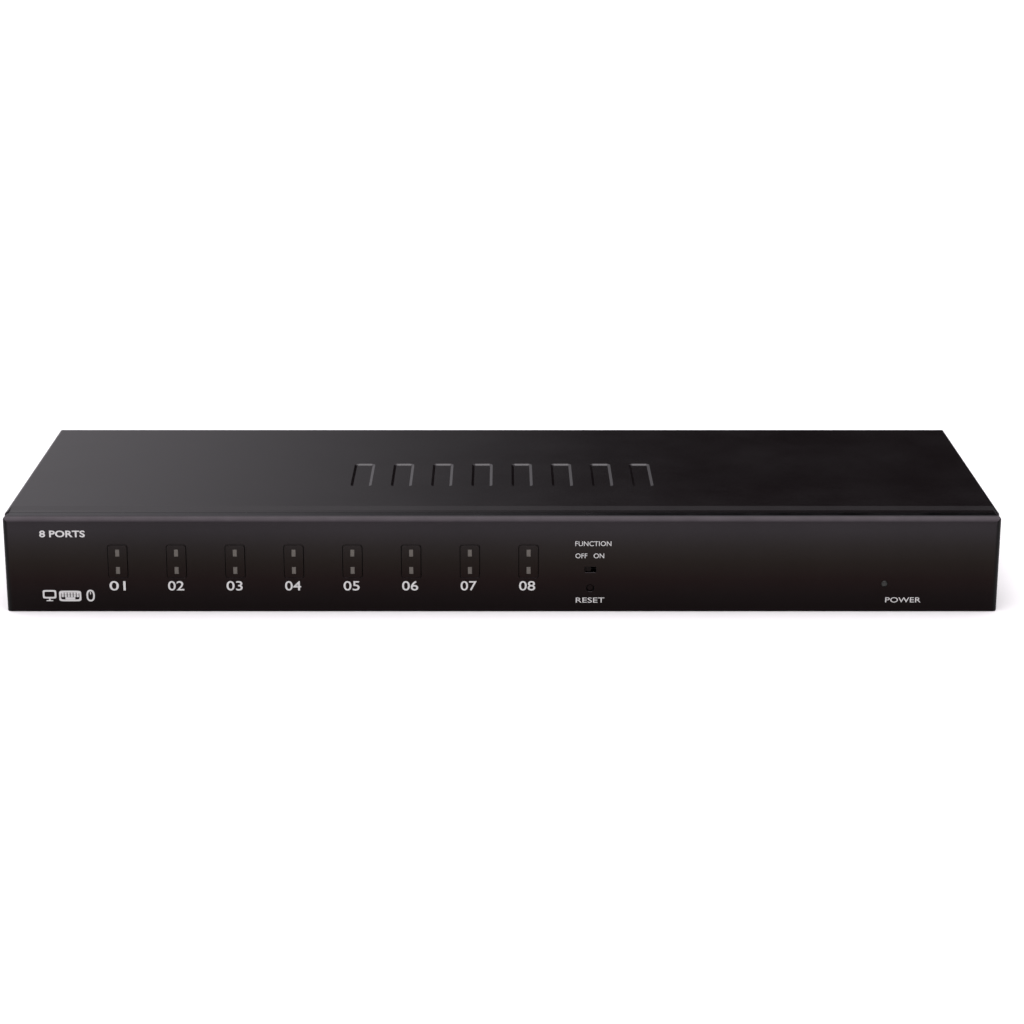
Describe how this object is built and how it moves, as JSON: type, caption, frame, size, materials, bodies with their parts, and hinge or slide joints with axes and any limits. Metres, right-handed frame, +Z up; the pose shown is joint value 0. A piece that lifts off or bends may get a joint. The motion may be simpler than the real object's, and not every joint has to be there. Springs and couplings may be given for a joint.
{
  "type": "kvm switch",
  "caption": "Rack-width keyboard, video and mouse switch: low black steel case, rounded front with lit port buttons, reset and slide switch, rear sockets.",
  "frame": {"origin": "centre of the overall box, on the surface that the base rests on", "axes": "+X to the right as seen from the front, +Y from the front to the rear, +Z up"},
  "size_m": [0.438, 0.1546, 0.044],
  "materials": {
    "case_paint": "fine satin black powder coat",
    "bezel_plastic": "fine matte moulded black",
    "button_plastic": "satin black",
    "lens_plastic": "milky light pipe",
    "switch_plastic": "black",
    "plunger_plastic": "natural",
    "led_resin": "clear epoxy, milky",
    "board_laminate": "green solder mask",
    "zinc_steel": "bright zinc",
    "black_screw": "black zinc",
    "nickel_steel": "nickel plate",
    "blue_plastic": "blue insulator",
    "purple_plastic": "purple body",
    "green_plastic": "green body",
    "black_plastic": "black",
    "white_plastic": "white tongue",
    "chip_plastic": "moulded black",
    "can_sleeve": "bare can",
    "ribbon_vinyl": "grey ribbon"
  },
  "bodies": {
    "case": {"base_tray": "case_paint", "top_cover": "case_paint", "front_bezel": "bezel_plastic", "slide_switch_frame": "nickel_steel", "power_lens": "lens_plastic", "switch_bodies": "switch_plastic", "indicator_leds": "led_resin", "front_board": "board_laminate", "main_board": "board_laminate", "board_standoffs": "zinc_steel", "board_screws": "zinc_steel", "case_screws": "black_screw", "ribbon_headers": "black_plastic", "ribbon_cable": "ribbon_vinyl", "logic_chips": "chip_plastic", "capacitors": "can_sleeve", "console_video_shell": "nickel_steel", "plug_inserts": "blue_plastic", "jackscrews": "nickel_steel", "keyboard_socket": "purple_plastic", "mouse_socket": "green_plastic", "usb_console_shell": "nickel_steel", "usb_tongues": "white_plastic", "dc_inlet": "black_plastic", "dc_inlet_pin": "nickel_steel", "cpu_port_shell_1": "nickel_steel", "cpu_port_shell_2": "nickel_steel", "cpu_port_shell_3": "nickel_steel", "cpu_port_shell_4": "nickel_steel", "cpu_port_shell_5": "nickel_steel", "cpu_port_shell_6": "nickel_steel", "cpu_port_shell_7": "nickel_steel", "cpu_port_shell_8": "nickel_steel"},
    "button_1": {"port_button_1": "button_plastic", "port_lens_1": "lens_plastic", "switch_plunger_1": "plunger_plastic"},
    "button_2": {"port_button_2": "button_plastic", "port_lens_2": "lens_plastic", "switch_plunger_2": "plunger_plastic"},
    "button_3": {"port_button_3": "button_plastic", "port_lens_3": "lens_plastic", "switch_plunger_3": "plunger_plastic"},
    "button_4": {"port_button_4": "button_plastic", "port_lens_4": "lens_plastic", "switch_plunger_4": "plunger_plastic"},
    "button_5": {"port_button_5": "button_plastic", "port_lens_5": "lens_plastic", "switch_plunger_5": "plunger_plastic"},
    "button_6": {"port_button_6": "button_plastic", "port_lens_6": "lens_plastic", "switch_plunger_6": "plunger_plastic"},
    "button_7": {"port_button_7": "button_plastic", "port_lens_7": "lens_plastic", "switch_plunger_7": "plunger_plastic"},
    "button_8": {"port_button_8": "button_plastic", "port_lens_8": "lens_plastic", "switch_plunger_8": "plunger_plastic"},
    "reset": {"reset_button": "button_plastic", "reset_plunger": "plunger_plastic"},
    "firmware_slide": {"firmware_slider": "button_plastic"}
  },
  "joints": [
    {"name": "button_1_press", "type": "slide", "parent": "case", "child": "button_1", "axis": [0, 1, 0], "range_m": [0, 0.0007], "stiffness_N_per_m": 2500},
    {"name": "button_2_press", "type": "slide", "parent": "case", "child": "button_2", "axis": [0, 1, 0], "range_m": [0, 0.0007], "stiffness_N_per_m": 2500},
    {"name": "button_3_press", "type": "slide", "parent": "case", "child": "button_3", "axis": [0, 1, 0], "range_m": [0, 0.0007], "stiffness_N_per_m": 2500},
    {"name": "button_4_press", "type": "slide", "parent": "case", "child": "button_4", "axis": [0, 1, 0], "range_m": [0, 0.0007], "stiffness_N_per_m": 2500},
    {"name": "button_5_press", "type": "slide", "parent": "case", "child": "button_5", "axis": [0, 1, 0], "range_m": [0, 0.0007], "stiffness_N_per_m": 2500},
    {"name": "button_6_press", "type": "slide", "parent": "case", "child": "button_6", "axis": [0, 1, 0], "range_m": [0, 0.0007], "stiffness_N_per_m": 2500},
    {"name": "button_7_press", "type": "slide", "parent": "case", "child": "button_7", "axis": [0, 1, 0], "range_m": [0, 0.0007], "stiffness_N_per_m": 2500},
    {"name": "button_8_press", "type": "slide", "parent": "case", "child": "button_8", "axis": [0, 1, 0], "range_m": [0, 0.0007], "stiffness_N_per_m": 2500},
    {"name": "reset_press", "type": "slide", "parent": "case", "child": "reset", "axis": [0, 1, 0], "range_m": [0, 0.0007], "stiffness_N_per_m": 2500},
    {"name": "firmware_slide_move", "type": "slide", "parent": "case", "child": "firmware_slide", "axis": [1, 0, 0], "range_m": [0, 0.002]}
  ]
}
